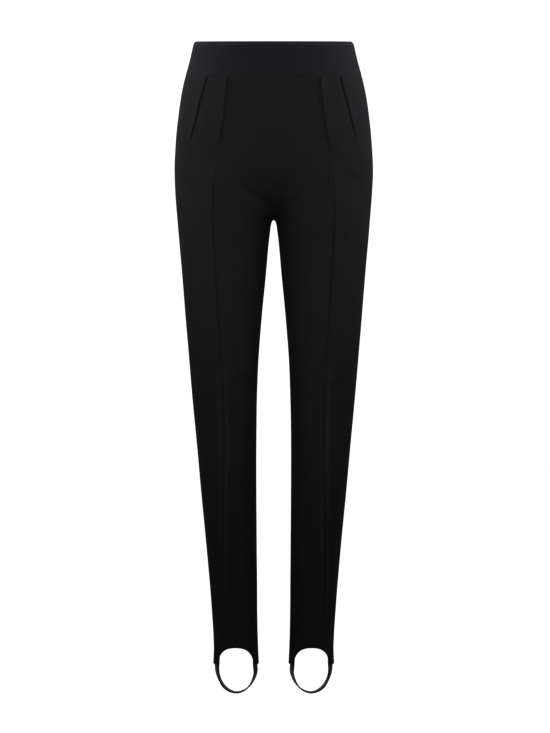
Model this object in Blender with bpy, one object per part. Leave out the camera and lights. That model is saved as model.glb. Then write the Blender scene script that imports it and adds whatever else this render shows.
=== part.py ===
"""High-waisted stirrup leggings in the form that they have when worn, with nobody in them.

Metres, +Z up, the front towards -Y and the wearer's left at +X. The origin is the waist opening's middle.
Each panel is a wall of cloth through sections worked out for the wearer's left, and mirrored for the right.
"""

import math
from functools import lru_cache
from typing import NamedTuple

import bmesh
import bpy
from mathutils import Matrix, Vector

MM = 0.001

# Thickness of each cloth and the parting between sewn pieces, in mm
KNIT_WALL = 1.5
WAISTBAND_WALL = 2.4
ELASTIC_WALL = 2.0
SEAM_GAP = 0.3

# Levels down the garment, in mm below the waist's top edge
WAIST_SEAM = -60.0
FORK = -210.0
CROTCH = -305.0
CROTCH_TIP = 12.0
TIP_END = 95.0
TIP_NARROWNESS = 4
LOBES_END = -350.0
HEM_START = -1000.0
FRONT_ARCH = -1038.5
BACK_ARCH = -1045.0
TAB_END = -1069.0

# The waist is cut lower in front: rise of each level for each mm further back, lost by the hips
WAIST_TILT = 0.13
TILT_END = -205.0

# A hip section is a superellipse with this exponent, and a leg section is an ellipse. The valley between
# the legs reaches this share of a half section to each side of the centre seam.
HIP_SQUARENESS = 2.3
VALLEY_REACH = 0.45

# How softly the channel along the centre seam turns into the legs, as a share of the depth, and the turns
# between which that softness is lost
CHANNEL_SOFTNESS = 0.06
CHANNEL_FADE = (0.4, 0.8)

# The hem's arch over the foot, as shares of the leg's half breadth, and its exponent
ARCH_REACH = 0.8
ARCH_SQUARENESS = 2.4

# The elastic strap under each foot, in mm
STRAP_WIDTH = 44.0
STRAP_BOTTOM = -1120.5
STRAP_TUCK = 10.0
STRAP_SQUARENESS = 1.9
STRAP_CLEARANCE = 0.9
STRAP_ROLL = math.radians(5.6)
STRAP_ROLL_START = (math.radians(40), math.radians(90))
STRAP_ROLL_END = (math.radians(140), math.radians(180))

KNIT_COLOUR = (0.0105, 0.0105, 0.0120, 1.0)
WAISTBAND_COLOUR = (0.0110, 0.0110, 0.0126, 1.0)
ELASTIC_COLOUR = (0.0165, 0.0165, 0.0180, 1.0)
KNIT_ROUGHNESS = 0.86
ELASTIC_ROUGHNESS = 0.72


class Section(NamedTuple):
    """One level of the left half: its reach to the side seam, inseam, front and back.

    seam is how far back the side seam and inseam lie.
    """

    level: float
    side: float
    inner: float
    front: float
    back: float
    seam: float


SECTIONS = (
    Section(level=0, side=136.5, inner=4.2, front=92, back=98, seam=0),
    Section(level=-30, side=143.2, inner=4.2, front=95.5, back=103, seam=0),
    Section(level=-60, side=151.3, inner=4.2, front=99, back=109, seam=1),
    Section(level=-90, side=158.0, inner=4.2, front=102, back=114, seam=2),
    Section(level=-130, side=163.9, inner=4.2, front=105, back=121, seam=4),
    Section(level=-175, side=168.2, inner=4.2, front=106, back=130, seam=5),
    Section(level=-220, side=170.3, inner=4.2, front=105, back=135, seam=6),
    Section(level=-262, side=168.7, inner=4.2, front=101, back=132, seam=6),
    Section(level=-305, side=165.3, inner=4.2, front=95, back=117, seam=5),
    Section(level=-345, side=161.9, inner=8.6, front=89, back=102, seam=4),
    Section(level=-400, side=157.0, inner=13.5, front=82, back=88, seam=3),
    Section(level=-470, side=151.4, inner=20.3, front=75, back=75, seam=2),
    Section(level=-545, side=145.0, inner=26.0, front=67.5, back=65, seam=1),
    Section(level=-620, side=138.5, inner=28.9, front=60, back=62, seam=2),
    Section(level=-690, side=132.0, inner=29.8, front=53, back=67, seam=7),
    Section(level=-760, side=125.9, inner=29.9, front=46, back=70, seam=12),
    Section(level=-840, side=118.3, inner=29.4, front=38, back=69, seam=16),
    Section(level=-920, side=111.1, inner=28.7, front=30, back=65, seam=18),
    Section(level=-990, side=105.8, inner=28.3, front=23, back=63, seam=20),
    Section(level=-1040, side=103.2, inner=27.0, front=19, back=63, seam=22),
    Section(level=-1070, side=104.2, inner=25.4, front=19, back=63, seam=22),
)


class FoldLines(NamedTuple):
    """Where the two pleats of a front run, from the centre plane.

    The inner one goes on as the leg's front crease.
    """

    level: float
    inner: float
    outer: float


FOLD_LINES = (
    FoldLines(level=-60, inner=77.0, outer=113.0),
    FoldLines(level=-128, inner=83.5, outer=129.5),
    FoldLines(level=-189, inner=92.5, outer=142.0),
    FoldLines(level=-240, inner=98.5, outer=145.0),
    FoldLines(level=-305, inner=101.5, outer=145.0),
    FoldLines(level=-387, inner=98.2, outer=141.5),
    FoldLines(level=-463, inner=94.2, outer=137.5),
    FoldLines(level=-522, inner=90.2, outer=133.0),
    FoldLines(level=-589, inner=85.5, outer=128.0),
    FoldLines(level=-683, inner=83.6, outer=120.5),
    FoldLines(level=-785, inner=85.4, outer=112.5),
    FoldLines(level=-922, inner=86.0, outer=101.7),
    FoldLines(level=-1009, inner=83.4, outer=96.5),
    FoldLines(level=-1070, inner=82.5, outer=96.0),
)


class FoldPoint(NamedTuple):
    """A point across a fold, as a pleat and as a crease: how far aside of its line it lies, and its lift."""

    pleat_aside: float
    pleat_lift: float
    crease_aside: float
    crease_lift: float


FOLD_POINTS = (
    FoldPoint(pleat_aside=-7.0, pleat_lift=0.0, crease_aside=-3.5, crease_lift=0.0),
    FoldPoint(pleat_aside=-0.8, pleat_lift=-0.5, crease_aside=-0.6, crease_lift=1.8),
    FoldPoint(pleat_aside=0.8, pleat_lift=1.6, crease_aside=0.6, crease_lift=1.8),
    FoldPoint(pleat_aside=14.0, pleat_lift=0.0, crease_aside=3.5, crease_lift=0.0),
)

# Each pleat is whole down to its first level and gone at the second. The crease grows in over its own two.
INNER_PLEAT_FADE = (-165.0, -205.0)
OUTER_PLEAT_FADE = (-170.0, -215.0)
CREASE_RISE = (-195.0, -260.0)
CREASE_FADE = (-1005.0, -1030.0)

# Where the columns of a panel lie, closest at the corners of the hem's arch: shares of the way from the centre
# to the crease in front, and of the whole turn behind
FRONT_INNER_SHARES = (0.0, 0.18, 0.31, 0.35, 0.43, 0.58, 0.78)
FRONT_MIDDLE_COLUMNS = 2
FRONT_OUTER_COLUMNS = 3
BACK_TURNS = (1.0, 0.9, 0.81, 0.782, 0.73, 0.63, 0.5, 0.37, 0.27, 0.218, 0.19, 0.1, 0.0)
WAISTBAND_COLUMNS = 14
WAISTBAND_ROWS = 3
STRAP_COLUMNS = 22
STRAP_ROWS = 4

AXIS_X = Vector((1, 0, 0))
AXIS_Y = Vector((0, 1, 0))
WAIST_PLANE = Vector((0, -WAIST_TILT, 1)).normalized()


def spread(start, end, steps):
    """Evenly spaced values from start to end, both included."""
    return [start + (end - start) * step / steps for step in range(steps + 1)]


def ramp(value, start, end):
    """0 before start and 1 past end, with a soft turn at both."""
    share = min(max((value - start) / (end - start), 0.0), 1.0)
    return share * share * (3 - 2 * share)


@lru_cache(maxsize=None)
def read(table, column, level):
    """A column of a table at a level, on a smooth curve through its rows."""
    last = len(table) - 2
    index = next((i for i in range(last) if table[i + 1].level <= level), last)
    low, high = table[index], table[index + 1]
    before, after = table[max(index - 1, 0)], table[min(index + 2, last + 1)]
    span = high.level - low.level
    share = (level - low.level) / span
    start, end = getattr(low, column), getattr(high, column)
    start_slope = (end - getattr(before, column)) / (high.level - before.level) * span
    end_slope = (getattr(after, column) - start) / (after.level - low.level) * span
    square, cube = share**2, share**3
    return (
        start * (2 * cube - 3 * square + 1)
        + end * (3 * square - 2 * cube)
        + start_slope * (cube - 2 * square + share)
        + end_slope * (cube - square)
    )


def dive(level):
    """How far round the quarter of an ellipse from the fork to the crotch the centre seam has come."""
    return math.asin(min(max((FORK - level) / (FORK - CROTCH), 0.0), 1.0))


def depth_share(turn, reach, level):
    """The depth of a section at a turn, as a share of its greatest.

    reach is how far out the turn lies, as a share of the half breadth. Below the fork two legs swell out of
    the ring of the hips. Between them the cloth is a smooth channel along the centre seam.
    """
    hip = (1 - min(reach, 1.0) ** HIP_SQUARENESS) ** (1 / HIP_SQUARENESS)
    leg = math.sin(turn * math.pi)
    around = ramp(-level, -FORK, -LOBES_END)
    near = max(1 - turn / VALLEY_REACH, 0.0) ** 2
    lobe = hip + (leg - hip) * (around + (1 - around) * near)
    channel = hip * math.cos(dive(level))
    softness = CHANNEL_SOFTNESS * math.sin(2 * dive(level)) * (1 - ramp(turn, *CHANNEL_FADE))
    return (lobe + channel + math.hypot(lobe - channel, softness)) / 2


def inseam_reach(level):
    """From the centre plane to the inseam: what the leg shares, and what only its tip at the crotch has."""
    below = CROTCH - level
    if below <= 0:
        return 0.0, 0.0
    inner = read(SECTIONS, "inner", level)
    tip = 1 - min(below / CROTCH_TIP, 1.0)
    shared = inner * ramp(below, 0.0, TIP_END)
    return shared, inner * math.sqrt(1 - tip**2) - shared


def outline(turn, level, facing):
    """A point of the outer face in mm, before the waist's tilt.

    turn runs from the centre seam or inseam, 0, to the side seam, 1. facing is -1 in front and 1 behind.
    """
    side = read(SECTIONS, "side", level)
    shared, tip = inseam_reach(level)
    seam = read(SECTIONS, "seam", level)
    depth = abs(facing * read(SECTIONS, "front" if facing < 0 else "back", level) - seam)
    inwards = (1 + math.cos(turn * math.pi)) / 2
    x = side * (1 - inwards) + shared * inwards + tip * inwards**TIP_NARROWNESS
    return x, seam + facing * depth * depth_share(turn, x / side, level)


def turn_at(x, level):
    """The turn at which a panel reaches x, found by halving."""
    low, high = 0.0, 1.0
    for _ in range(20):
        middle = (low + high) / 2
        if outline(middle, level, -1)[0] < x:
            low = middle
        else:
            high = middle
    return low


def turn_per_mm(turn, level):
    """How much of a turn one mm along the front's section is."""
    step = 0.002
    start, end = outline(turn - step, level, -1), outline(turn + step, level, -1)
    return 2 * step / math.dist(start, end)


def panel_point(turn, level, facing):
    """A point of a panel's outer face in metres, half a seam's gap away from its neighbours."""
    x, y = outline(turn, level, facing)
    if turn == 0:
        x = max(x, SEAM_GAP / 2)
        y += facing * SEAM_GAP / 2 * (1 - math.cos(dive(level)))
    if turn == 1:
        y += facing * SEAM_GAP / 2
    tilt = WAIST_TILT * ramp(level, TILT_END, WAIST_SEAM)
    return Vector((x, y, level + tilt * y)) * MM


def hem_level(turn, facing):
    """The level of the hem: an arch over the foot between the two tabs that hold the strap."""
    arch = FRONT_ARCH if facing < 0 else BACK_ARCH
    share = min(abs(math.cos(turn * math.pi)) / ARCH_REACH, 1.0)
    fall = 1 - (1 - share**ARCH_SQUARENESS) ** (1 / ARCH_SQUARENESS)
    return arch + (TAB_END - arch) * fall


def panel_levels():
    """The levels of a leg panel's rows from the hem's start up to the waist seam."""
    shin = spread(HEM_START, -350, 13)
    tip = [-332, -319, -311, -307]
    fork = [FORK - (FORK - CROTCH) * math.sin(math.radians(angle)) for angle in spread(90, 0, 7)]
    hip = spread(FORK, WAIST_SEAM - SEAM_GAP / 2, 6)
    return shin + tip + fork + hip[1:]


HEM_ROWS = 5
PANEL_LEVELS = panel_levels()


def row_level(row, turn, facing):
    """The level of one row at one turn: the lowest rows close in on the hem's arch."""
    if row >= HEM_ROWS:
        return PANEL_LEVELS[row - HEM_ROWS]
    hem = hem_level(turn, facing)
    return hem + (HEM_START - hem) * row / HEM_ROWS


def fold_columns(line, level, pleat, crease, loose):
    """(turn, lift) of the columns across one fold.

    loose is how far the points have moved from a pleat's spacing, 0, to a crease's, 1.
    """
    turn = turn_at(line, level)
    scale = turn_per_mm(turn, level)
    columns = []
    for point in FOLD_POINTS:
        aside = point.pleat_aside + (point.crease_aside - point.pleat_aside) * loose
        lift = point.pleat_lift * pleat + point.crease_lift * crease
        columns.append((turn + aside * scale, lift))
    return columns


@lru_cache(maxsize=None)
def front_columns(level):
    """(turn, lift) of every column of a front at a level, from the centre to the side seam."""
    loose = ramp(-level, -INNER_PLEAT_FADE[1], -CREASE_RISE[1])
    inner_pleat = 1 - ramp(-level, -INNER_PLEAT_FADE[0], -INNER_PLEAT_FADE[1])
    outer_pleat = 1 - ramp(-level, -OUTER_PLEAT_FADE[0], -OUTER_PLEAT_FADE[1])
    crease = ramp(-level, -CREASE_RISE[0], -CREASE_RISE[1])
    crease *= 1 - ramp(-level, -CREASE_FADE[0], -CREASE_FADE[1])
    inner = fold_columns(read(FOLD_LINES, "inner", level), level, inner_pleat, crease, loose)
    outer = fold_columns(read(FOLD_LINES, "outer", level), level, outer_pleat, 0.0, loose)
    columns = [(inner[0][0] * share, 0.0) for share in FRONT_INNER_SHARES]
    columns += inner
    columns += [(turn, 0.0) for turn in spread(inner[-1][0], outer[0][0], FRONT_MIDDLE_COLUMNS)[1:-1]]
    columns += outer
    columns += [(turn, 0.0) for turn in spread(outer[-1][0], 1.0, FRONT_OUTER_COLUMNS)[1:]]
    return columns


def flattened(normal, plane):
    """A normal laid into the plane of a seam, so that both pieces end in the same plane."""
    return (normal - plane * normal.dot(plane)).normalized()


def cloth_wall(name, columns, rows, place, thickness, settle):
    """A closed wall of cloth.

    place(column, row) gives a point of the outer face and its lift. settle(normal, column, row) corrects the
    normal at a seam. Columns run anticlockwise seen from above and rows run up, so that the faces point out.
    """
    bm = bmesh.new()
    bmesh.ops.create_grid(bm, x_segments=columns - 1, y_segments=rows - 1, size=1)
    bm.verts.ensure_lookup_table()
    spot = bm.verts.layers.int.new("spot")
    lifts = []
    for vert in bm.verts:
        row, column = divmod(vert.index, columns)
        vert[spot] = vert.index
        vert.co, lift = place(column, row)
        lifts.append(lift * MM)
    bm.normal_update()
    outer, inner = [], []
    for vert in bm.verts:
        row, column = divmod(vert.index, columns)
        normal = settle(vert.normal.copy(), column, row)
        outer.append(vert.co + normal * lifts[vert.index])
        inner.append(outer[-1] - normal * thickness * MM)
    extruded = bmesh.ops.extrude_face_region(bm, geom=bm.faces[:])["geom"]
    outside = {item for item in extruded if isinstance(item, bmesh.types.BMVert)}
    for vert in bm.verts:
        vert.co = (outer if vert in outside else inner)[vert[spot]]
    bmesh.ops.recalc_face_normals(bm, faces=bm.faces[:])
    mesh = bpy.data.meshes.new(name)
    bm.to_mesh(mesh)
    bm.free()
    mesh.shade_smooth()
    mesh.set_sharp_from_angle(angle=math.radians(50))
    return bpy.data.objects.new(name, mesh)


def settle_panel(normal, turn, level, top):
    """The normal of a leg panel, kept in the plane of whatever seam runs there."""
    if turn == 1 or (turn == 0 and level <= CROTCH):
        normal = flattened(normal, AXIS_Y)
    elif turn == 0 and normal.x > 0:
        normal = flattened(normal, AXIS_X)
    return flattened(normal, WAIST_PLANE) if top else normal


def front_panel(name):
    """A front of a leg, with its two sewn pleats and its front crease."""
    rows = HEM_ROWS + len(PANEL_LEVELS)
    count = len(front_columns(CROTCH))

    def spot(column, row):
        level = PANEL_LEVELS[max(row - HEM_ROWS, 0)]
        turn, lift = front_columns(level)[column]
        level = row_level(row, turn, -1)
        turn, lift = front_columns(level)[column]
        return turn, level, lift

    def place(column, row):
        turn, level, lift = spot(column, row)
        return panel_point(turn, level, -1), lift

    def settle(normal, column, row):
        turn, level, _ = spot(column, row)
        return settle_panel(normal, turn, level, row == rows - 1)

    return cloth_wall(name, count, rows, place, KNIT_WALL, settle)


def back_panel(name):
    """A back of a leg, plain from the waist seam to the hem."""
    rows = HEM_ROWS + len(PANEL_LEVELS)

    def place(column, row):
        turn = BACK_TURNS[column]
        return panel_point(turn, row_level(row, turn, 1), 1), 0.0

    def settle(normal, column, row):
        turn = BACK_TURNS[column]
        return settle_panel(normal, turn, row_level(row, turn, 1), row == rows - 1)

    return cloth_wall(name, len(BACK_TURNS), rows, place, KNIT_WALL, settle)


def waistband(name, facing):
    """Half of the waistband, from side seam to side seam."""
    turns = [-facing * turn for turn in spread(-1.0, 1.0, 2 * WAISTBAND_COLUMNS)]
    levels = spread(WAIST_SEAM + SEAM_GAP / 2, 0.0, WAISTBAND_ROWS)

    def place(column, row):
        turn, level = turns[column], levels[row]
        x, y = outline(abs(turn), level, facing)
        if abs(turn) == 1:
            y += facing * SEAM_GAP / 2
        point = Vector((math.copysign(x, turn), y, level + WAIST_TILT * y))
        return point * MM, 0.0

    def settle(normal, column, row):
        if abs(turns[column]) == 1:
            normal = flattened(normal, AXIS_Y)
        return flattened(normal, WAIST_PLANE) if row in (0, len(levels) - 1) else normal

    return cloth_wall(name, len(turns), len(levels), place, WAISTBAND_WALL, settle)


def stirrup(name):
    """The elastic strap under a foot: a hoop whose ends are tucked inside the leg's two tabs."""
    tab_side = read(SECTIONS, "side", TAB_END)
    tab_inner = read(SECTIONS, "inner", TAB_END)
    seam = read(SECTIONS, "seam", TAB_END)
    clear = KNIT_WALL + STRAP_CLEARANCE
    depth = read(SECTIONS, "back", TAB_END) - seam - clear
    drop = TAB_END - STRAP_BOTTOM
    across = spread(-1.0, 1.0, STRAP_ROWS)
    bend = 2 / STRAP_SQUARENESS
    tucks = spread(STRAP_TUCK, 0.0, 2)[:-1]
    stations = [(0.0, tuck) for tuck in tucks]
    stations += [(angle, 0.0) for angle in spread(0.0, math.pi, STRAP_COLUMNS)]
    stations += [(math.pi, tuck) for tuck in reversed(tucks)]

    def place(column, row):
        angle, tucked = stations[column]
        aside = across[row] * STRAP_WIDTH / 2
        level = TAB_END + tucked
        half = (read(SECTIONS, "side", level) - read(SECTIONS, "inner", level)) / 2 - clear
        along, down = math.cos(angle), max(math.sin(angle), 0.0)
        x = math.copysign(abs(along) ** bend, along) * half
        inwards = Vector((-along * drop, 0, down * half)).normalized()
        cup = half * (1 - math.sqrt(1 - (aside / depth) ** 2)) * (1 - ramp(down, 0.0, 0.9))
        roll = STRAP_ROLL * ramp(angle, *STRAP_ROLL_START) * (1 - ramp(angle, *STRAP_ROLL_END))
        middle = (tab_side + tab_inner) / 2
        point = Vector((middle + x, seam + aside * math.cos(roll), level - drop * down**bend))
        return (point + inwards * (cup - aside * math.sin(roll))) * MM, 0.0

    def settle(normal, column, row):
        return normal

    return cloth_wall(name, len(stations), len(across), place, ELASTIC_WALL, settle)


def mirrored(source, name):
    """The same piece for the wearer's right."""
    mesh = source.data.copy()
    mesh.name = name
    mesh.transform(Matrix.Scale(-1, 4, AXIS_X))
    mesh.flip_normals()
    return bpy.data.objects.new(name, mesh)


def material(name, colour, roughness):
    made = bpy.data.materials.new(name)
    made.use_nodes = True
    shader = made.node_tree.nodes["Principled BSDF"]
    shader.inputs["Base Color"].default_value = colour
    shader.inputs["Roughness"].default_value = roughness
    shader.inputs["Metallic"].default_value = 0.0
    return made


def add(objects, finish, parent):
    """Puts pieces of one cloth into the scene, under the garment's empty."""
    for obj in objects:
        obj.data.materials.clear()
        obj.data.materials.append(finish)
        obj.parent = parent
        bpy.context.scene.collection.objects.link(obj)


def main():
    for obj in list(bpy.data.objects):
        bpy.data.objects.remove(obj)
    garment = bpy.data.objects.new("leggings", None)
    bpy.context.scene.collection.objects.link(garment)
    knit = material("black_ponte_knit", KNIT_COLOUR, KNIT_ROUGHNESS)
    double_knit = material("black_double_knit", WAISTBAND_COLOUR, KNIT_ROUGHNESS)
    elastic = material("black_ribbed_elastic", ELASTIC_COLOUR, ELASTIC_ROUGHNESS)
    add((waistband("waistband_front", -1), waistband("waistband_back", 1)), double_knit, garment)
    for name, build, finish in (
        ("front", front_panel, knit),
        ("back", back_panel, knit),
        ("stirrup", stirrup, elastic),
    ):
        left = build(name + "_left")
        add((left, mirrored(left, name + "_right")), finish, garment)


main()
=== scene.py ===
"""The looks of stirrup leggings: fine shells of cloth on the frame's solids, with sewing and finishes.

Tables and names that say level, side, across, lift or wall are in mm, as a pattern cutter would write them.
MM turns them into the frame's metres. +Z is up, the front looks towards -Y and the wearer's left is at +X.
"""

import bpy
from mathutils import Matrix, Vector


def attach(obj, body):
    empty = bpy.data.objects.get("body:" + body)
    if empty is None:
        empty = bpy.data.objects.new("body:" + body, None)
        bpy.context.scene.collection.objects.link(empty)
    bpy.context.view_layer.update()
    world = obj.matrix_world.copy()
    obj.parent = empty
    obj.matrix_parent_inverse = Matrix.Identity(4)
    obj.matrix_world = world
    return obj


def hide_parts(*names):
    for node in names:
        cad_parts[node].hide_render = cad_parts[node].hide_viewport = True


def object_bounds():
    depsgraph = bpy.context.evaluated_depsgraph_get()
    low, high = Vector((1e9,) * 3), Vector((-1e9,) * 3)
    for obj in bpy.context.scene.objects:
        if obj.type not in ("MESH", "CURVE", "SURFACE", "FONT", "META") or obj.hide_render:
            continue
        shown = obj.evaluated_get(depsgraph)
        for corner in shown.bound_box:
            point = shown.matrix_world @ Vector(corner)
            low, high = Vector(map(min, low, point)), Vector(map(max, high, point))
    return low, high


bl_info = {
    "name": "Stirrup Leggings",
    "version": (1, 0, 0),
    "blender": (4, 5, 0),
    "location": "View3D > Sidebar > Leggings",
    "description": "Models the cloth, sewing and finishes of stirrup leggings",
    "category": "Object",
}

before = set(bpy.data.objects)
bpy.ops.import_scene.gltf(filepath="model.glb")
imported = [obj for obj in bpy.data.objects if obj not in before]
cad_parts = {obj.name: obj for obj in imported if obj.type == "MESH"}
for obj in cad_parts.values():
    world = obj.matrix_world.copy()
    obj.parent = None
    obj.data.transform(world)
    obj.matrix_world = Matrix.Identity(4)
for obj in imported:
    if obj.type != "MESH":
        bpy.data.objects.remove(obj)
cad_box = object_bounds()

import math
from bisect import bisect_right
from functools import lru_cache
from itertools import accumulate, pairwise
from typing import NamedTuple

import bmesh
import bpy
from bpy.props import FloatProperty, FloatVectorProperty, PointerProperty
from mathutils import Matrix, Vector, noise
from mathutils.bvhtree import BVHTree

MM = 0.001

# Levels down the garment in mm, from the waist's top edge
WAIST_SEAM = -60.0
FORK = -210.0
CROTCH = -305.0
LOBES_END = -350.0
HEM_START = -1000.0
FRONT_ARCH = -1038.5
BACK_ARCH = -1045.0
TAB_END = -1069.0

# The gap between the legs opens below the crotch with a rounded tip of some height. At first only the cloth
# close to the inseam gives way to it, by a power, and at the tip's end the whole leg has
CROTCH_TIP = 12.0
TIP_NARROWNESS = 4
TIP_END = 95.0

# The waist is cut lower in front: rise of each level for each mm further back, lost by the hips
WAIST_TILT = 0.13
TILT_END = -205.0

# Shape of the sections, of the channel between the legs and of the hem's arch over the foot
HIP_SQUARENESS = 2.3
VALLEY_REACH = 0.45
CHANNEL_SOFTNESS = 0.06
CHANNEL_FADE = (0.4, 0.8)
ARCH_REACH = 0.8
ARCH_SQUARENESS = 2.4
CORNER_TURN = math.acos(ARCH_REACH) / math.pi

# The elastic strap under each foot
STRAP_WIDTH = 44.0
STRAP_BOTTOM = -1120.5
STRAP_TUCK = 10.0
STRAP_SQUARENESS = 1.9
STRAP_DEPTH = 2.4
STRAP_ROLL = math.radians(5.4)
STRAP_ROLL_START = (math.radians(40), math.radians(90))
STRAP_ROLL_END = (math.radians(140), math.radians(180))

# The stretched loop below the tabs bellies out to both sides, and lies a little nearer to the other foot.
# It does so wholly past one share of its depth, and is flat across past another
STRAP_BELLY = 1.7
STRAP_SHIFT = 0.8
STRAP_LOOSE = 0.4
STRAP_FLAT = 0.9

# From the strap's edge: where its firm selvedge ends, and where its ribs are whole
SELVEDGE = (1.5, 2.4)

AXIS_X = Vector((1, 0, 0))
AXIS_Y = Vector((0, 1, 0))
WAIST_PLANE = Vector((0, -WAIST_TILT, 1)).normalized()


class Section(NamedTuple):
    """One level of the left half: how far it reaches to the side seam, inseam, front and back.

    seam is how far back the side seam and inseam lie. Above the crotch, inner only leads the curve below.
    """

    level: float
    side: float
    inner: float
    front: float
    back: float
    seam: float


SECTIONS = (
    # level, side, inner, front, back, seam
    Section(0, 136.5, 4.2, 92, 98, 0),
    Section(-30, 143.2, 4.2, 95.5, 103, 0),
    Section(-60, 151.3, 4.2, 99, 109, 1),
    Section(-90, 158.0, 4.2, 102, 114, 2),
    Section(-130, 163.9, 4.2, 105, 121, 4),
    Section(-175, 168.2, 4.2, 106, 130, 5),
    Section(-220, 170.3, 4.2, 105, 135, 6),
    Section(-262, 168.7, 4.2, 101, 132, 6),
    Section(-305, 165.3, 4.2, 95, 117, 5),
    Section(-345, 161.9, 8.6, 89, 102, 4),
    Section(-400, 157.0, 13.5, 82, 88, 3),
    Section(-470, 151.4, 20.3, 75, 75, 2),
    Section(-545, 145.0, 26.0, 67.5, 65, 1),
    Section(-620, 138.5, 28.9, 60, 62, 2),
    Section(-690, 132.0, 29.8, 53, 67, 7),
    Section(-760, 125.9, 29.9, 46, 70, 12),
    Section(-840, 118.3, 29.4, 38, 69, 16),
    Section(-920, 111.1, 28.7, 30, 65, 18),
    Section(-990, 105.8, 28.3, 23, 63, 20),
    Section(-1040, 103.2, 27.0, 19, 63, 22),
    Section(-1070, 104.2, 25.4, 19, 63, 22),
)


class FoldLines(NamedTuple):
    """Where a front's two pleats run, from the centre plane. The inner one goes on as the front crease."""

    level: float
    inner: float
    outer: float


FOLD_LINES = (
    # level, inner, outer
    FoldLines(-60, 77.0, 113.0),
    FoldLines(-128, 83.5, 129.5),
    FoldLines(-189, 92.5, 142.0),
    FoldLines(-240, 98.5, 145.0),
    FoldLines(-305, 101.5, 145.0),
    FoldLines(-387, 98.2, 141.5),
    FoldLines(-463, 94.2, 137.5),
    FoldLines(-522, 90.2, 133.0),
    FoldLines(-589, 85.5, 128.0),
    FoldLines(-683, 83.6, 120.5),
    FoldLines(-785, 85.4, 112.5),
    FoldLines(-922, 86.0, 101.7),
    FoldLines(-1009, 83.4, 96.5),
    FoldLines(-1070, 82.5, 96.0),
)

# The outer fold bends to the corner of the hem's arch between these levels
OUTER_FOLD_BEND = (-860.0, HEM_START)

# Each pleat is whole down to its first level and gone at the second. The crease comes and goes likewise
INNER_PLEAT_FADE = (-150.0, -205.0)
OUTER_PLEAT_FADE = (-142.0, -192.0)
CREASE_RISE = (-195.0, -275.0)
CREASE_FADE = (-990.0, -1030.0)

# Profile across a pleat: breadths of its valley, folded edge and flank in mm, and the valley's depth as a
# share of the edge's height
PLEAT_VALLEY = 5.0
PLEAT_EDGE = 0.7
PLEAT_FLANK = 17.0
PLEAT_DIP = 0.3

# The pressed line sunk into the top of the front crease: half its breadth, and the levels between which it
# comes in below the pleat and goes out towards the knee
LINE_WIDTH = 2.3
LINE_RISE = (-215.0, -270.0)
LINE_FADE = (-470.0, -600.0)

# Painted highlight: two streaks on both sides of that line below the thigh are painted lighter, where the
# crease's flanks catch the light: how far they lie from it, half the breadth of each, and the levels where
# they come in and go out. Their painted highlight has a mean and a swing, in patches of a size across and
# along, and a seed places the patches of each leg
STREAKS = (7.0, -4.6)
STREAK_WIDTH = 3.8
STREAK_RISE = (-530.0, -620.0)
STREAK_FADE = (-930.0, -1010.0)
STREAK_PAINTED_HIGHLIGHT = (0.6, 0.9)
STREAK_PATCH = (9.0, 70.0)
STREAK_SEED = {"front_left": 3.7, "front_right": 8.2}

# The line itself is painted darker over half a breadth, as painted shade in its groove, and keeps a share
# of that where it has lost its depth
LINE_PAINTED_SHADE = 0.55
LINE_SHADE_WIDTH = 2.2
LINE_SHADE_REST = 0.4


class Crease(NamedTuple):
    """A soft trough in a panel, or a ridge where depth is negative, in mm.

    Its two ends are given by their distance from the centre seam or inseam along the cloth and their level.
    bow is how far its middle is bent to one side, and width is half the breadth of the trough.
    """

    across: float
    level: float
    end_across: float
    end_level: float
    bow: float
    depth: float
    width: float


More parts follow.
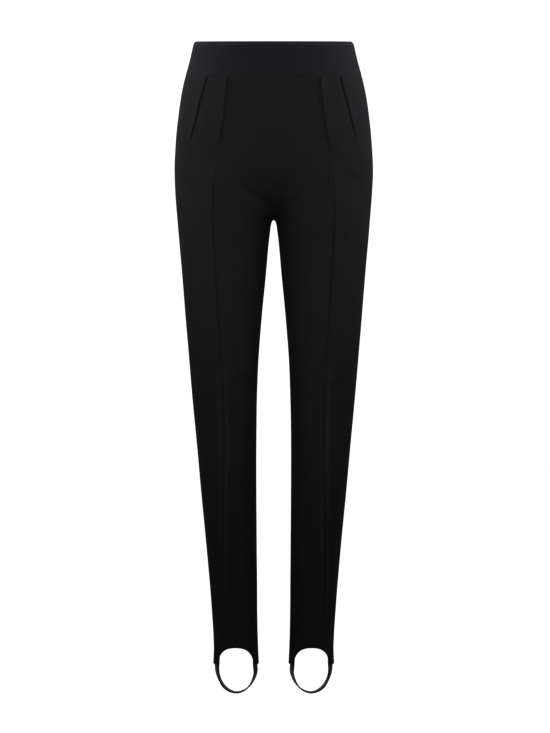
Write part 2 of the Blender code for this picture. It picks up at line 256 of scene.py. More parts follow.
# The creases of each panel, none of them the same as its opposite one
CREASES = {
    # across, level, end_across, end_level, bow, depth, width
    "front_left": (
        Crease(5, -291, 52, -258, -4, 0.8, 5.5),
        Crease(8, -306, 63, -285, -5, 0.7, 6.5),
        Crease(12, -325, 48, -316, 3, 0.6, 6.0),
        Crease(84, -208, 91, -246, 1, -0.9, 2.6),
        Crease(112, -232, 168, -247, 5, 0.5, 9.0),
        Crease(16, -566, 74, -588, -6, 0.6, 8.0),
        Crease(92, -604, 138, -583, 5, 0.6, 9.0),
        Crease(14, -640, 66, -627, 5, 0.45, 7.5),
        Crease(8, -1040, 34, -985, 3, 0.6, 5.0),
        Crease(92, -1034, 70, -990, -2, 0.5, 5.5),
    ),
    "front_right": (
        Crease(3, -281, 60, -241, -5, 1.2, 5.0),
        Crease(9, -296, 56, -266, -3, -0.6, 5.0),
        Crease(10, -314, 70, -296, -6, 0.8, 7.0),
        Crease(118, -251, 176, -236, -4, 0.5, 9.0),
        Crease(20, -590, 80, -572, 6, 0.6, 8.5),
        Crease(88, -596, 140, -617, -5, 0.6, 8.0),
        Crease(18, -655, 58, -668, -4, 0.4, 7.0),
        Crease(10, -1036, 40, -978, 4, 0.5, 5.5),
        Crease(90, -1040, 66, -1000, -3, 0.6, 5.0),
    ),
    "back_left": (
        Crease(10, -318, 78, -338, 7, 1.7, 8.0),
        Crease(22, -344, 104, -358, 6, 1.3, 9.5),
        Crease(14, -372, 70, -384, 5, 0.8, 9.0),
        Crease(8, -262, 44, -292, 4, 0.7, 7.0),
        Crease(20, -594, 112, -583, -6, 1.5, 7.0),
        Crease(34, -615, 126, -622, 5, 1.2, 7.5),
        Crease(12, -642, 84, -651, 4, 0.9, 8.0),
        Crease(50, -566, 118, -552, -4, 0.7, 8.0),
        Crease(18, -968, 92, -981, 5, 0.7, 7.0),
        Crease(26, -996, 80, -1003, 4, 0.6, 6.0),
        Crease(150, -92, 196, -128, 5, 0.5, 10.0),
    ),
    "back_right": (
        Crease(8, -322, 90, -346, 8, 1.5, 8.5),
        Crease(28, -352, 92, -362, 5, 1.2, 8.5),
        Crease(10, -270, 50, -304, 4, 0.8, 7.5),
        Crease(26, -604, 122, -590, -7, 1.4, 7.5),
        Crease(14, -626, 100, -634, 5, 1.3, 7.0),
        Crease(60, -654, 124, -642, -4, 0.7, 8.0),
        Crease(16, -577, 76, -571, -3, 0.8, 7.0),
        Crease(12, -960, 76, -952, -4, 0.5, 8.0),
        Crease(22, -988, 98, -996, 5, 0.8, 6.5),
        Crease(140, -110, 190, -140, 4, 0.5, 9.0),
    ),
}

# A crease comes in over this stretch of its length, as shares of it, and goes out likewise at the far end.
# To both sides it ends this many of its widths from its middle
CREASE_END = (-0.1, 0.35)
CREASE_REACH = 3

# Painted light on the creases: a ridge is painted lighter by so much for each mm of its height, up to a
# height, as painted highlight, and a trough is painted darker likewise, as painted shade
CREASE_PAINTED_LIGHT = 0.45
CREASE_PAINTED_LIMIT = 1.6

# Broad unevenness of worn cloth: size of the swells in metres, and their height in mm. On a panel they
# are a quarter as high at a seam, and grow between these distances from it
SWELLS = ((0.085, 0.55), (0.03, 0.16))
SWELL_GROWTH = (-6.0, 12.0)

# The waistband's edge is drawn in over some breadth. It rolls out above the stitches, which pull it in
EDGE_DRAW = 1.7
EDGE_REACH = 5.6
EDGE_ROLL = 0.45
EDGE_PULL = 0.4
EDGE_PULL_REACH = 1.0

# Half the breadth of the step where the turned-up hem ends, and how far its stitches pull the cloth in
HEM_STEP = 0.8
HEM_PULL = 0.25
HEM_PULL_REACH = 1.6

# A stitch fills this share of its length, and is so high and raised so far as shares of the thread's width
STITCH_FILL = 0.82
STITCH_HEIGHT = 0.72
STITCH_RISE = 0.08

# An allowance lies so far inside its panel, and its overlocking swells it in waves between these distances
# from its free edge
ALLOWANCE_GAP = 0.25
OVERLOCK_PITCH = 2.6
OVERLOCK_HEIGHT = 0.22
OVERLOCK_REACH = (2.0, 4.5)

# Where the mesh is closest: distances in mm from a seam, fold or corner, and from the hem
NEAR = (0.25, 0.6, 1.1, 1.9, 3.0, 4.6, 7.0)
HEM_NEAR = (0.0, 0.3, 0.75, 1.3, 2.0, 3.0, 4.5, 6.0, 7.0, 8.0, 9.0, 10.2, 11.2, 12.2, 14.0)

# Rows and columns of the meshes elsewhere, and steps in mm between rows
HEM_SPREAD_ROWS = 9
TIP_ROWS = 14
TIP_LAST_ANGLE = 0.06
FORK_ROWS = 34
ROW_STEP = 3.8
ALLOWANCE_STEP = 1.25
FRONT_COLUMNS = (5, 9, 6, 9)
BACK_COLUMNS = (6, 28, 6)
BAND_COLUMNS = (96,)
BAND_ROWS = (10,)
STRAP_ROWS = (12,)
RIB_COLUMNS = 8

# Steps in which the length round a section, along a strap's loop and along its tuck is measured
GIRTH_STEPS = 120
STRAP_STEPS = 400
TUCK_STEPS = 20

# The hem's corner keeps its columns within this share of the way to the inner fold
CORNER_SHARE = 0.4

# Vertices within this many metres of each other are one, as where a turned edge closes
WELD = 1e-6

# Sizes in metres of the finishes' patterns: width of a column and height of a row of the knit's loops, its
# fuzz, the elastic's yarn, one turn of the thread along a stitch, and the emboss of the floor
WALE = 0.0019
COURSE = 0.0015
FUZZ = 0.0016
YARN = 0.0011
TWIST = 0.0018
EMBOSS = 0.004

# A diagonal wave texture of scale 1 repeats after this many metres along an axis
WAVE_REPEAT = 0.628

# The cool white of the studio's soft boxes, and the curve that shows the black cloth as a photograph does
LAMP_COLOUR = (0.92, 0.92, 1.0)
DISPLAY_GAMMA = 0.7


def spread(start, end, steps):
    """Evenly spaced values from start to end, both included."""
    return [start + (end - start) * step / steps for step in range(steps + 1)]


def ramp(value, start, end):
    """0 before start and 1 past end, with a soft turn at both."""
    share = min(max((value - start) / (end - start), 0.0), 1.0)
    return share * share * (3 - 2 * share)


def mix(start, end, share):
    """The value that lies a share of the way from start to end."""
    return start + (end - start) * share


def hump(value, middle, reach):
    """1 at the middle, softly down to 0 at its reach to either side."""
    return 1 - ramp(abs(value - middle), 0.0, reach)


@lru_cache(maxsize=None)
def read(table, column, level):
    """A column of a table at a level, on a smooth curve through its rows."""
    last = len(table) - 2
    index = next((i for i in range(last) if table[i + 1].level <= level), last)
    low, high = table[index], table[index + 1]
    before, after = table[max(index - 1, 0)], table[min(index + 2, last + 1)]
    span = high.level - low.level
    share = (level - low.level) / span
    start, end = getattr(low, column), getattr(high, column)
    start_slope = (end - getattr(before, column)) / (high.level - before.level) * span
    end_slope = (getattr(after, column) - start) / (after.level - low.level) * span
    square, cube = share**2, share**3
    return (
        start * (2 * cube - 3 * square + 1)
        + end * (3 * square - 2 * cube)
        + start_slope * (cube - 2 * square + share)
        + end_slope * (cube - square)
    )


def dive(level):
    """How far round the quarter of an ellipse from the fork to the crotch the centre seam has come."""
    return math.asin(min(max((FORK - level) / (FORK - CROTCH), 0.0), 1.0))


def depth_share(turn, reach, level):
    """The depth of a section at a turn, as a share of its greatest.

    reach is how far out the turn lies, as a share of the half breadth. Below the fork two legs swell out of
    the ring of the hips. Between them the cloth is a smooth channel along the centre seam.
    """
    hip = (1 - min(reach, 1.0) ** HIP_SQUARENESS) ** (1 / HIP_SQUARENESS)
    leg = math.sin(turn * math.pi)
    around = ramp(-level, -FORK, -LOBES_END)
    near = max(1 - turn / VALLEY_REACH, 0.0) ** 2
    lobe = hip + (leg - hip) * (around + (1 - around) * near)
    channel = hip * math.cos(dive(level))
    softness = CHANNEL_SOFTNESS * math.sin(2 * dive(level)) * (1 - ramp(turn, *CHANNEL_FADE))
    return (lobe + channel + math.hypot(lobe - channel, softness)) / 2


def inseam_reach(level):
    """From the centre plane to the inseam: what the whole leg shares, and what its rounded tip adds."""
    below = CROTCH - level
    if below <= 0:
        return 0.0, 0.0
    inner = read(SECTIONS, "inner", level)
    tip = 1 - min(below / CROTCH_TIP, 1.0)
    shared = inner * ramp(below, 0.0, TIP_END)
    return shared, inner * math.sqrt(1 - tip**2) - shared


def outline(turn, level, facing):
    """A point of the outer face, before the waist's tilt.

    turn runs from the centre seam or inseam, 0, to the side seam, 1. facing is -1 in front and 1 behind.
    """
    side = read(SECTIONS, "side", level)
    shared, tip = inseam_reach(level)
    seam = read(SECTIONS, "seam", level)
    depth = abs(facing * read(SECTIONS, "front" if facing < 0 else "back", level) - seam)
    inwards = (1 + math.cos(turn * math.pi)) / 2
    x = side * (1 - inwards) + shared * inwards + tip * inwards**TIP_NARROWNESS
    return x, seam + facing * depth * depth_share(turn, x / side, level)


def hem_level(turn, facing):
    """The level of the hem: an arch over the foot between the two tabs that hold the strap."""
    arch = FRONT_ARCH if facing < 0 else BACK_ARCH
    share = min(abs(math.cos(turn * math.pi)) / ARCH_REACH, 1.0)
    fall = 1 - (1 - share**ARCH_SQUARENESS) ** (1 / ARCH_SQUARENESS)
    return arch + (TAB_END - arch) * fall


@lru_cache(maxsize=None)
def girth(level, facing):
    """How far points at even turns lie from the centre plane, and along the cloth from the inner seam."""
    points = [outline(turn, level, facing) for turn in spread(0.0, 1.0, GIRTH_STEPS)]
    lengths = accumulate((math.dist(start, end) for start, end in pairwise(points)), initial=0.0)
    return [x for x, _ in points], list(lengths)


def between(values, results, value):
    """Reads results where values, which rise, reach a value."""
    index = min(max(bisect_right(values, value) - 1, 0), len(values) - 2)
    step = values[index + 1] - values[index]
    share = (value - values[index]) / step if step else 0.0
    return mix(results[index], results[index + 1], share)


def across_at_turn(turn, level, facing):
    """Distance along the cloth at a turn."""
    return between(spread(0.0, 1.0, GIRTH_STEPS), girth(level, facing)[1], turn)


def turn_at(across, level, facing):
    """The turn at a distance along the cloth."""
    lengths = girth(level, facing)[1]
    if across <= 0:
        return 0.0
    if across >= lengths[-1]:
        return 1.0
    return between(lengths, spread(0.0, 1.0, GIRTH_STEPS), across)


def panel_point(turn, level, facing):
    """A point of a left panel's outer face in metres."""
    x, y = outline(turn, level, facing)
    tilt = WAIST_TILT * ramp(level, TILT_END, WAIST_SEAM)
    return Vector((x, y, level + tilt * y)) * MM


def stations(anchors, counts):
    """Distances along the cloth: close together at the anchors and evenly spaced between them."""
    places = [anchors[0]]
    for start, end, count in zip(anchors, anchors[1:], counts):
        scale = min(1.0, (end - start) / (3 * NEAR[-1]))
        rising = [start + offset * scale for offset in NEAR]
        falling = [end - offset * scale for offset in reversed(NEAR)]
        places += rising + spread(rising[-1], falling[0], count)[1:-1] + falling + [end]
    return places


@lru_cache(maxsize=None)
def fold_places(level):
    """Where the two folds of a front lie along the cloth. The outer one ends at the arch's corner."""
    xs, lengths = girth(level, -1)
    inner = between(xs, lengths, read(FOLD_LINES, "inner", level))
    outer = between(xs, lengths, read(FOLD_LINES, "outer", level))
    corner = across_at_turn(1 - CORNER_TURN, level, -1)
    return inner, mix(outer, corner, down_between(level, OUTER_FOLD_BEND))


@lru_cache(maxsize=None)
def panel_stations(level, facing):
    """Distances along the cloth of every column of a panel at a level."""
    total = girth(level, facing)[1][-1]
    corner = across_at_turn(CORNER_TURN, level, facing)
    if facing < 0:
        inner, outer = fold_places(level)
        corner = min(corner, CORNER_SHARE * inner)
        return stations((0.0, corner, inner, outer, total), FRONT_COLUMNS)
    far_corner = across_at_turn(1 - CORNER_TURN, level, facing)
    return stations((0.0, corner, far_corner, total), BACK_COLUMNS)


def panel_levels():
    """The levels of a panel's rows from the hem's start up to the waist seam.

    They are closest just below the crotch, where the gap opens, and just above, where the channel is steep.
    """
    shin = spread(HEM_START, CROTCH - 2 * CROTCH_TIP, round((HEM_START - CROTCH) / -ROW_STEP))
    angles = spread(math.pi / 2, TIP_LAST_ANGLE, TIP_ROWS)
    tip = [CROTCH - 2 * CROTCH_TIP * (1 - math.cos(angle)) for angle in angles]
    fork = [FORK - (FORK - CROTCH) * math.sin(angle) for angle in spread(math.pi / 2, 0.0, FORK_ROWS)]
    hip = spread(FORK, WAIST_SEAM - NEAR[-1], round((WAIST_SEAM - FORK) / ROW_STEP))
    seam = [WAIST_SEAM - offset for offset in reversed(NEAR)]
    return shin + tip[1:] + fork + hip[1:-1] + seam + [WAIST_SEAM]


PANEL_LEVELS = panel_levels()
HEM_ROWS = len(HEM_NEAR) + HEM_SPREAD_ROWS - 1


def row_level(row, turn, facing):
    """The level of one row at one turn: the lowest rows follow the hem's arch."""
    if row >= HEM_ROWS:
        return PANEL_LEVELS[row - HEM_ROWS]
    hem = hem_level(turn, facing)
    if row < len(HEM_NEAR):
        return hem + HEM_NEAR[row]
    share = (row - len(HEM_NEAR) + 1) / HEM_SPREAD_ROWS
    return mix(hem + HEM_NEAR[-1], HEM_START, share)


@lru_cache(maxsize=None)
def hem_curve(facing):
    """The hem of a panel laid flat: (distance along the cloth, level) from the inseam to the side seam."""
    curve = []
    for turn in spread(0.0, 1.0, 4 * GIRTH_STEPS):
        level = hem_level(turn, facing)
        curve.append((across_at_turn(turn, level, facing), level))
    return curve


def hem_distance(across, level, facing):
    """How far a point of a panel lies from its hem."""
    return min(math.dist((across, level), place) for place in hem_curve(facing))


def crease_lift(crease, across, level):
    """How far one crease lifts or sinks the cloth at a point."""
    run, rise = crease.end_across - crease.across, crease.end_level - crease.level
    length = math.hypot(run, rise)
    along = ((across - crease.across) * run + (level - crease.level) * rise) / length**2
    if not CREASE_END[0] < along < 1 - CREASE_END[0]:
        return 0.0
    aside = ((level - crease.level) * run - (across - crease.across) * rise) / length
    inside = min(max(along, 0.0), 1.0)
    share = (aside - crease.bow * 4 * inside * (1 - inside)) / crease.width
    if abs(share) > CREASE_REACH:
        return 0.0
    fade = ramp(along, *CREASE_END) * ramp(1 - along, *CREASE_END)
    return -crease.depth * fade * (1 - 0.5 * share**2) * math.exp(-(share**2))


@lru_cache(maxsize=1)
def creased(panel, across, level):
    """How far all creases of a panel together lift or sink the cloth at a point."""
    return sum(crease_lift(crease, across, level) for crease in CREASES[panel])


def pleat_lift(aside, height):
    """Profile of a pleat: a narrow valley, the edge of the fold and a long soft flank towards the side."""
    if aside < 0:
        return -PLEAT_DIP * height * ramp(aside, -PLEAT_VALLEY, 0.0)
    if aside < PLEAT_EDGE:
        return height * mix(-PLEAT_DIP, 1.0, ramp(aside, 0.0, PLEAT_EDGE))
    return height * (1 - ramp(aside, PLEAT_EDGE, PLEAT_FLANK))


def down_between(level, levels):
    """0 above the first of two levels and 1 below the second."""
    return ramp(-level, -levels[0], -levels[1])


def lasting(level, rise, fade):
    """1 between two pairs of levels, softly down to 0 above the first pair and below the second."""
    return down_between(level, rise) * (1 - down_between(level, fade))


def pressed_lift(aside, height, reach, line):
    """Profile of a pressed crease: a soft ridge, with a fine line of some depth sunk into its top."""
    ridge = max(1 - (aside / reach) ** 2, 0.0) ** 2
    return height * ridge - line * math.exp(-((aside / LINE_WIDTH) ** 2))


def pressed_painted_light(aside, level, seed):
    """How much painted highlight lightens the cloth beside the line, or painted shade darkens the line
    itself where below 0.
    """
    mean, swing = STREAK_PAINTED_HIGHLIGHT
    patches = noise.noise(Vector((aside / STREAK_PATCH[0], level / STREAK_PATCH[1], seed)))
    streaks = lasting(level, STREAK_RISE, STREAK_FADE) * (mean + swing * patches)
    shine = max(hump(aside, streak, STREAK_WIDTH) for streak in STREAKS)
    rest = mix(1.0, LINE_SHADE_REST, down_between(level, LINE_FADE))
    line = lasting(level, LINE_RISE, STREAK_FADE) * rest * hump(aside, 0.0, LINE_SHADE_WIDTH)
    return shine * streaks - LINE_PAINTED_SHADE * line


def swell(point):
    """Broad unevenness of the cloth at a point in space, the same on both sides of a seam."""
    return sum(height * noise.noise(point / size) for size, height in SWELLS)


class Spot(NamedTuple):
    """One place of a piece of cloth: a point of the solid's outer face, and how the cloth departs from it.

    flat is its place on the cloth laid flat, and planes are those of the seams that it lies in.
    """

    point: Vector
    lift: float
    wall: float
    rounding: float
    flat: tuple
    planes: tuple
    # How far its colour is painted lighter, as painted highlight, or darker where below 0, as painted shade
    painted_light: float = 0.0


def flattened(normal, planes):
    """A normal laid into the planes of the seams that it lies in."""
    for plane in planes:
        normal = (normal - plane * normal.dot(plane)).normalized()
    return normal


def cloth_shell(name, columns, rows, spot, finish, reverse=False):
    """A thin shell of cloth with rounded edges, and a map of the flat cloth in metres for its weave.

    spot(column, row) describes one place. Columns run anticlockwise seen from above and rows run up.
    """
    bm = bmesh.new()
    bmesh.ops.create_grid(bm, x_segments=columns - 1, y_segments=rows - 1, size=1)
    index_of = bm.verts.layers.int.new("place")
    # Each vertex keeps the painted highlight and painted shade for the knit's colour
    painted_light_of = bm.verts.layers.float.new("painted_light")
    spots = []
    for index, vert in enumerate(bm.verts):
        row, column = divmod(index, columns)
        vert[index_of] = index
        spots.append(spot(column, row))
        vert.co = spots[-1].point
        vert[painted_light_of] = spots[-1].painted_light
    if reverse:
        bmesh.ops.reverse_faces(bm, faces=bm.faces[:])
    bm.normal_update()
    outer, inner = [], []
    for vert, place in zip(bm.verts, spots):
        normal = flattened(vert.normal.copy(), place.planes)
        outer.append(vert.co + normal * (place.lift - place.rounding) * MM)
        inner.append(vert.co + normal * (place.lift + place.rounding - place.wall) * MM)
    extruded = bmesh.ops.extrude_face_region(bm, geom=bm.faces[:])["geom"]
    outside = {item for item in extruded if isinstance(item, bmesh.types.BMVert)}
    for vert in bm.verts:
        vert.co = (outer if vert in outside else inner)[vert[index_of]]
    flat = bm.loops.layers.uv.new("flat_cloth")
    for face in bm.faces:
        for loop in face.loops:
            loop[flat].uv = Vector(spots[loop.vert[index_of]].flat) * MM
    bmesh.ops.remove_doubles(bm, verts=bm.verts[:], dist=WELD)
    return finished(name, bm, finish)


def finished(name, bm, finish, sharp=55):
    """Turns a bmesh into a smooth-shaded piece that rides on the garment's body."""
    mesh = bpy.data.meshes.new(name)
    bm.to_mesh(mesh)
    bm.free()
    mesh.shade_smooth()
    mesh.set_sharp_from_angle(angle=math.radians(sharp))
    mesh.materials.append(finish)
    piece = bpy.data.objects.new(name, mesh)
    bpy.context.scene.collection.objects.link(piece)
    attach(piece, "root")
    return piece


def sizes():
    """The user's sizes."""
    return bpy.context.scene.leggings_sizes


def mm(value):
    """A property in metres as mm."""
    return value / MM


def seam_lift(distance):
    """How far the cloth rolls in towards a seam."""
    size = sizes()
    return -mm(size.seam_depth) * (1 - ramp(distance, 0.0, mm(size.seam_reach))) ** 2


def edge_rounding(distance, wall):
    """How far both faces draw together near a turned edge."""
    radius = wall / 2
    if distance >= radius:
        return 0.0
    return radius - math.sqrt(max(radius**2 - (radius - distance) ** 2, 0.0))


def panel_lift(panel, across, level, facing):
    """All folds, creases and seams of a panel at one place."""
    size = sizes()
    total = girth(level, facing)[1][-1]
    lift = creased(panel, across, level)
    lift += seam_lift(across) + seam_lift(total - across) + seam_lift(WAIST_SEAM - level)
    if facing < 0:
        inner, outer = fold_places(level)
        pleat = mm(size.pleat_height)
        lift += pleat_lift(across - inner, pleat * (1 - down_between(level, INNER_PLEAT_FADE)))
        lift += pleat_lift(across - outer, pleat * (1 - down_between(level, OUTER_PLEAT_FADE)))
        crease = mm(size.crease_height) * lasting(level, CREASE_RISE, CREASE_FADE)
        line = mm(size.line_depth) * lasting(level, LINE_RISE, LINE_FADE)
        lift += pressed_lift(across - inner, crease, mm(size.crease_reach), line)
    return lift


def panel_painted_light(panel, across, level, facing):
    """How much painted light a panel's colour takes: painted highlight on ridges, painted shade in troughs,
    and on a front those of the pressed crease.
    """
    painted_light = CREASE_PAINTED_LIGHT * min(max(creased(panel, across, level), -CREASE_PAINTED_LIMIT), CREASE_PAINTED_LIMIT)
    if facing < 0:
        painted_light += pressed_painted_light(across - fold_places(level)[0], level, STREAK_SEED[panel])
    return painted_light


def panel_planes(turn, level, top):
    """The planes of the seams that run along a panel's edge there."""
    planes = []
    if turn == 1 or (turn == 0 and level <= CROTCH):
        planes.append(AXIS_Y)
    if turn == 0 and level >= CROTCH:
        planes.append(AXIS_X)
    if top:
        planes.append(WAIST_PLANE)
    return tuple(planes)


def leg_panel(panel, facing, hand, finish):
    """A front or back of a leg. hand is 1 for the wearer's left and -1 for the right."""
    rows = HEM_ROWS + len(PANEL_LEVELS)
    columns = len(panel_stations(CROTCH, facing))
    size = sizes()

    def spot(column, row):
        level = PANEL_LEVELS[max(row - HEM_ROWS, 0)]
        across = panel_stations(level, facing)[column]
        turn = turn_at(across, level, facing)
        if row < HEM_ROWS:
            level = row_level(row, turn, facing)
            across = across_at_turn(turn, level, facing)
        point = panel_point(turn, level, facing)
        point.x *= hand
        lift = panel_lift(panel, across, level, facing)
        wall = mm(size.knit_wall)
        rounding = 0.0
        if row <= HEM_ROWS:
            away = hem_distance(across, level, facing)
            past_hem = away - mm(size.hem_depth)
            wall += mm(size.hem_fold) * (1 - ramp(past_hem, -HEM_STEP, HEM_STEP))
            rounding = edge_rounding(away, wall)
            lift -= HEM_PULL * hump(away, mm(size.hem_stitch), HEM_PULL_REACH)
        from_seam = min(across, girth(level, facing)[1][-1] - across)
        lift += swell(point) * ramp(from_seam, *SWELL_GROWTH)
        planes = panel_planes(turn, level, row == rows - 1)
        # Painted highlight and painted shade for the colour at this place
        painted_light = panel_painted_light(panel, across, level, facing)
        return Spot(point, lift, wall, rounding, (across, level), planes, painted_light)

    return cloth_shell(panel + "_cloth", columns, rows, spot, finish, reverse=facing * hand > 0)


def band_turns(facing):
    """The turns of a waistband's columns, from side seam to side seam, close together at both."""
    half = girth(WAIST_SEAM, facing)[1][-1]
    places = stations((-half, half), BAND_COLUMNS)
    turns = [math.copysign(turn_at(abs(place), WAIST_SEAM, facing), place) for place in places]
    return [-facing * turn for turn in turns]


def band_point(turn, level, facing):
    """A point of the waistband's outer face in metres. turn is negative on the wearer's right."""
    x, y = outline(abs(turn), level, facing)
    return Vector((math.copysign(x, turn), y, level + WAIST_TILT * y)) * MM


def band_lift(drop, height):
    """Profile of the waistband: its edge is drawn in and rolled, over a line of understitching."""
    stitch = mm(sizes().waist_stitch)
    drawn_in = EDGE_DRAW * (1 - ramp(drop, 0.0, EDGE_REACH))
    rolled_out = EDGE_ROLL * hump(drop, stitch / 2, stitch / 2)
    pulled_in = EDGE_PULL * hump(drop, stitch, EDGE_PULL_REACH)
    return rolled_out - pulled_in - drawn_in + seam_lift(height - drop)


def waistband(name, facing, finish):
    """Half of the waistband, from side seam to side seam, of doubled cloth."""
    wall = mm(sizes().band_wall)
    turns = band_turns(facing)
    levels = stations((WAIST_SEAM, 0.0), BAND_ROWS)

    def spot(column, row):
        turn, level = turns[column], levels[row]
        across = across_at_turn(abs(turn), level, facing)
        point = band_point(turn, level, facing)
        total = girth(level, facing)[1][-1]
        lift = band_lift(-level, -WAIST_SEAM) + seam_lift(total - across) + swell(point)
        flat = (math.copysign(across, turn), level)
        planes = (AXIS_Y,) if abs(turn) == 1 else ()
        if row in (0, len(levels) - 1):
            planes += (WAIST_PLANE,)
        return Spot(point, lift, wall, edge_rounding(-level, wall), flat, planes)

    return cloth_shell(name, len(turns), len(levels), spot, finish)


def strap_frame(angle, tucked, aside):
    """A point of a left strap's outer face in mm.

    It is given by its angle round the loop, how far it is tucked up in the tab, and how far it lies aside
    of the strap's middle.
    """
    tab_side = read(SECTIONS, "side", TAB_END)
    tab_inner = read(SECTIONS, "inner", TAB_END)
    seam = read(SECTIONS, "seam", TAB_END)
    depth = read(SECTIONS, "back", TAB_END) - seam - STRAP_DEPTH
    drop = TAB_END - STRAP_BOTTOM
    bend = 2 / STRAP_SQUARENESS
    level = TAB_END + tucked
    half = (read(SECTIONS, "side", level) - read(SECTIONS, "inner", level)) / 2 - STRAP_DEPTH
    along, down = math.cos(angle), max(math.sin(angle), 0.0)
    loose = ramp(down, 0.0, STRAP_LOOSE)
    x = math.copysign(abs(along) ** bend, along) * (half + STRAP_BELLY * loose) - STRAP_SHIFT * loose
    inwards = Vector((-along * drop, 0, down * half)).normalized()
    cup = half * (1 - math.sqrt(1 - (aside / depth) ** 2)) * (1 - ramp(down, 0.0, STRAP_FLAT))
    roll = STRAP_ROLL * ramp(angle, *STRAP_ROLL_START) * (1 - ramp(angle, *STRAP_ROLL_END))
    middle = (tab_side + tab_inner) / 2
    point = Vector((middle + x, seam + aside * math.cos(roll), level - drop * down**bend))
    return point + inwards * (cup - aside * math.sin(roll))


def strap_stations(step):
    """(angle, tucked) along a strap, a step apart along its middle."""
    fine = [(0.0, tucked) for tucked in spread(STRAP_TUCK, 0.0, TUCK_STEPS)[:-1]]
    fine += [(angle, 0.0) for angle in spread(0.0, math.pi, STRAP_STEPS)]
    fine += [(math.pi, tucked) for tucked in spread(0.0, STRAP_TUCK, TUCK_STEPS)[1:]]
    points = [strap_frame(angle, tucked, 0.0) for angle, tucked in fine]
    lengths = list(accumulate(((end - start).length for start, end in pairwise(points)), initial=0.0))
    places = spread(0.0, lengths[-1], round(lengths[-1] / step))
    angles = [between(lengths, [angle for angle, _ in fine], place) for place in places]
    tucks = [between(lengths, [tucked for _, tucked in fine], place) for place in places]
    return list(zip(angles, tucks, places))


def stirrup(name, hand, finish):
    """The ribbed elastic strap under a foot, with a firm selvedge along both sides."""
    size = sizes()
    pitch, depth = mm(size.rib_pitch), mm(size.rib_depth)
    places = strap_stations(pitch / RIB_COLUMNS)
    edge = STRAP_WIDTH / 2
    across = stations((-edge, edge), STRAP_ROWS)

    def spot(column, row):
        angle, tucked, along = places[column]
        point = strap_frame(angle, tucked, across[row]) * MM
        point.x *= hand
        away = edge - abs(across[row])
        ribs = -depth * (0.5 + 0.5 * math.cos(2 * math.pi * along / pitch)) * ramp(away, *SELVEDGE)
        wall = mm(size.elastic_wall) + 2 * ribs
        return Spot(point, ribs, wall, edge_rounding(away, wall), (along, across[row]), ())

    return cloth_shell(name, len(places), len(across), spot, finish, reverse=hand < 0)


# -------------------------------- sewing


def evenly(points, step):
    """Points a step apart along a line of (point, normal) pairs, each with the line's direction."""
    steps = ((end - start).length for (start, _), (end, _) in pairwise(points))
    lengths = list(accumulate(steps, initial=0.0))
    count = max(int(lengths[-1] / step), 1)
    placed = []
    for place in spread(0.0, lengths[-1], count)[:-1]:
        middle = place + lengths[-1] / count / 2
        index = min(max(bisect_right(lengths, middle) - 1, 0), len(points) - 2)
        (start, start_normal), (end, end_normal) = points[index], points[index + 1]
        share = (middle - lengths[index]) / max(lengths[index + 1] - lengths[index], 1e-9)
        normal = start_normal.lerp(end_normal, share).normalized()
        placed.append((start.lerp(end, share), normal, end - start))
    return placed


def add_stitches(bm, line, length, width):
    """Adds a row of lockstitches along a line of (point, normal) pairs in metres."""
    for point, normal, along in evenly(line, length):
        forward = (along - normal * along.dot(normal)).normalized()
        aside = normal.cross(forward)
        turned = Matrix((forward, aside, normal)).transposed().to_4x4()
        shaped = Matrix.Diagonal((length * STITCH_FILL / 2, width / 2, width * STITCH_HEIGHT / 2, 1))
        place = Matrix.Translation(point + normal * width * STITCH_RISE) @ turned @ shaped
        bmesh.ops.create_uvsphere(bm, u_segments=6, v_segments=5, radius=1, matrix=place)


class Surface:
    """Finds points of a finished shell's outer face."""

    def __init__(self, piece):
        bm = bmesh.new()
        bm.from_mesh(piece.data)
        self.tree = BVHTree.FromBMesh(bm)
        bm.free()

    def touch(self, point):
        """The nearest place of the outer face, and its normal."""
        place, normal, _, _ = self.tree.find_nearest(point)
        return place, normal


def hem_stitch_line(facing, distance):
    """The line of a hem's stitches laid flat, a distance above the hem and clear of the seams."""
    slack = 0.15
    curve = hem_curve(facing)
    line = []
    for before, place, after in zip(curve, curve[2:], curve[4:]):
        run, rise = after[0] - before[0], after[1] - before[1]
        length = math.hypot(run, rise)
        if length == 0:
            continue
        across, level = place[0] - rise / length * distance, place[1] + run / length * distance
        if hem_distance(across, level, facing) > distance - slack:
            line.append((across, level))
    return line


def on_panel(surface, across, level, facing, hand):
    """The place of a panel's finished outer face at a distance along the cloth and a level."""
    turn = turn_at(across, level, facing)
    point = panel_point(turn, level, facing)
    point.x *= hand
    return surface.touch(point)


def hem_stitches(name, surface, facing, hand, finish):
    """The topstitching of one panel's hem. In the tabs it also passes through the strap's end inside."""
    size = sizes()
    bm = bmesh.new()
    places = hem_stitch_line(facing, mm(size.hem_stitch))
    line = [on_panel(surface, *place, facing, hand) for place in places]
    add_stitches(bm, line, size.stitch_length, size.thread_width)
    return finished(name, bm, finish, sharp=180)


def waist_stitches(name, surface, facing, finish):
    """The understitching along the top edge of half the waistband."""
    size = sizes()
    bm = bmesh.new()
    level = -mm(size.waist_stitch)
    line = [surface.touch(band_point(turn, level, facing)) for turn in band_turns(facing)[1:-1]]
    add_stitches(bm, line, size.stitch_length, size.thread_width)
    return finished(name, bm, finish, sharp=180)


class SeamRun(NamedTuple):
    """A seam whose allowances lie inside the garment: which panel they lie on, and between which levels."""

    name: str
    facing: int
    turn: int
    top: float
    bottom: float


SEAM_RUNS = (
    SeamRun("side_allowance", facing=1, turn=1, top=WAIST_SEAM - 1, bottom=TAB_END + 14),
    SeamRun("inseam_allowance", facing=1, turn=0, top=CROTCH - 14, bottom=TAB_END + 14),
    SeamRun("front_allowance", facing=-1, turn=0, top=WAIST_SEAM - 1, bottom=CROTCH + 5),
    SeamRun("back_allowance", facing=1, turn=0, top=WAIST_SEAM - 1, bottom=CROTCH + 5),
)


